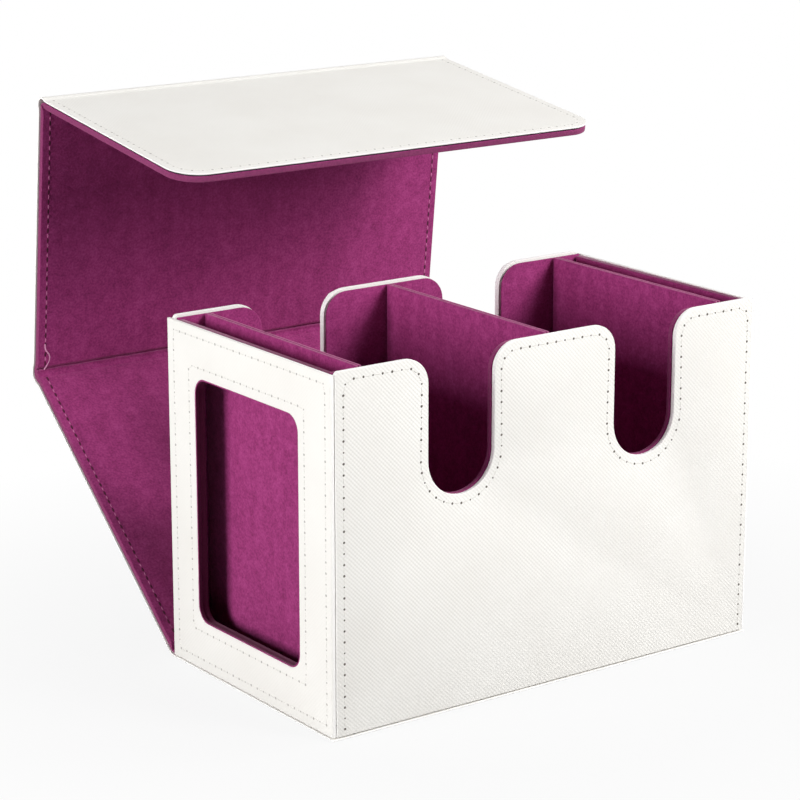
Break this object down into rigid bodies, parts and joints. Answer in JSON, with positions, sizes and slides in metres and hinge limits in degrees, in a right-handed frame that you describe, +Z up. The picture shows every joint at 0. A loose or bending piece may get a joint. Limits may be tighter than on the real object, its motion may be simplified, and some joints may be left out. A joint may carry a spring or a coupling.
{
  "type": "double deck box",
  "caption": "Open-topped card box with deck bays, display slots, end windows, finger notches and a folding leather cover.",
  "frame": {"origin": "centre of the tray's underside, on the surface it stands on", "axes": "+X along the tray to the right, +Y from the notched front to the hinged back, +Z up"},
  "size_m": [0.1536, 0.1658, 0.1592],
  "materials": {
    "white_leather": "fine twill grain, satin",
    "purple_suede": "short brushed nap",
    "grey_board": "pressed grey board",
    "magnet": "nickel plated"
  },
  "bodies": {
    "tray": {"base_leather": "white_leather", "base_board": "grey_board", "base_suede": "purple_suede", "front_wall_leather": "white_leather", "front_wall_board": "grey_board", "front_wall_suede": "purple_suede", "left_front_magnet": "magnet", "right_front_magnet": "magnet", "back_wall_leather": "white_leather", "back_wall_board": "grey_board", "back_wall_suede": "purple_suede", "left_wall_leather": "white_leather", "left_wall_board": "grey_board", "left_wall_suede": "purple_suede", "right_wall_leather": "white_leather", "right_wall_board": "grey_board", "right_wall_suede": "purple_suede", "left_divider_left_suede": "purple_suede", "left_divider_board": "grey_board", "left_divider_right_suede": "purple_suede", "centre_divider_left_suede": "purple_suede", "centre_divider_board": "grey_board", "centre_divider_right_suede": "purple_suede", "right_divider_left_suede": "purple_suede", "right_divider_board": "grey_board", "right_divider_right_suede": "purple_suede", "rear_fold_leather": "white_leather"},
    "rear_panel": {"rear_panel_leather": "white_leather", "rear_panel_board": "grey_board", "rear_panel_suede": "purple_suede"},
    "top_fold": {"top_fold_leather": "white_leather"},
    "top_panel": {"top_panel_leather": "white_leather", "top_panel_board": "grey_board", "top_panel_suede": "purple_suede", "flap_fold_leather": "white_leather"},
    "flap": {"flap_leather": "white_leather", "flap_board": "grey_board", "flap_suede": "purple_suede", "left_flap_magnet": "magnet", "right_flap_magnet": "magnet"}
  },
  "joints": [
    {"name": "rear_fold", "type": "hinge", "parent": "tray", "child": "rear_panel", "pos_m": [0, 0.0434, 0.0013], "axis": [1, 0, 0], "range_deg": [-40.8, 49.2]},
    {"name": "lower_crease", "type": "hinge", "parent": "rear_panel", "child": "top_fold", "pos_m": [0, 0.12168, 0.06887], "axis": [1, 0, 0], "range_deg": [-27.7, 16.5]},
    {"name": "upper_crease", "type": "hinge", "parent": "top_fold", "child": "top_panel", "pos_m": [0, 0.12285, 0.07185], "axis": [1, 0, 0], "range_deg": [-27.7, 16.5]},
    {"name": "flap_fold", "type": "hinge", "parent": "top_panel", "child": "flap", "pos_m": [0, 0.1135, 0.15794], "axis": [1, 0, 0], "range_deg": [-92.4, 0]}
  ]
}
